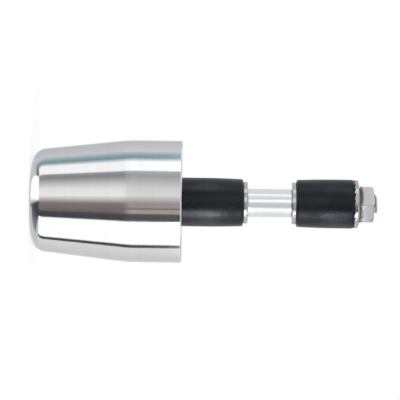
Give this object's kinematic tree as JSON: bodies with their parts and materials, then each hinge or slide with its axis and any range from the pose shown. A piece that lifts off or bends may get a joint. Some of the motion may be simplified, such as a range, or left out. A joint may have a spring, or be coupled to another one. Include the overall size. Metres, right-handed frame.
{
  "type": "bar end weight",
  "caption": "Turned steel handlebar end weight on a long bolt with rubber expander sleeves, washers, a spacer tube and a serrated flange nut that squeezes them to grip the bar.",
  "frame": {"origin": "middle of the weight's inner face, on the plug's axis, where the end of the bar seats", "axes": "+Z along the common axis, from the weight towards the nut; X and Y are free, with a corner of the nut's hexagon facing close to -Y"},
  "size_m": [0.035, 0.035, 0.0987],
  "materials": {
    "polished_steel": "turned and polished, with fine turning lines",
    "plated_steel": "bright zinc plating",
    "black_rubber": "smooth moulded rubber, satin",
    "bright_tube": "bright drawn tube"
  },
  "bodies": {
    "weight": {"end_weight": "polished_steel", "outer_rubber_sleeve": "black_rubber"},
    "bolt": {"clamp_bolt": "plated_steel"},
    "spacer": {"outer_washer": "plated_steel", "spacer_tube": "bright_tube", "inner_washer": "plated_steel", "inner_rubber_sleeve": "black_rubber"},
    "nut": {"flange_nut": "plated_steel"}
  },
  "joints": [
    {"name": "bolt_turn", "type": "hinge", "parent": "weight", "child": "bolt", "pos_m": [0, 0, 0], "axis": [0, 0, 1], "range_deg": [0, 1440]},
    {"name": "spacer_draw", "type": "slide", "parent": "weight", "child": "spacer", "axis": [0, 0, -1], "range_m": [0, 0.002], "deforming": ["outer_rubber_sleeve"]},
    {"name": "nut_draw", "type": "slide", "parent": "weight", "child": "nut", "axis": [0, 0, -1], "range_m": [0, 0.004], "deforming": ["inner_rubber_sleeve"]}
  ],
  "couplings": [
    {"joint": "spacer_draw", "follows": "bolt_turn", "m_per_rad": 0.00007957},
    {"joint": "nut_draw", "follows": "bolt_turn", "m_per_rad": 0.00015915}
  ]
}
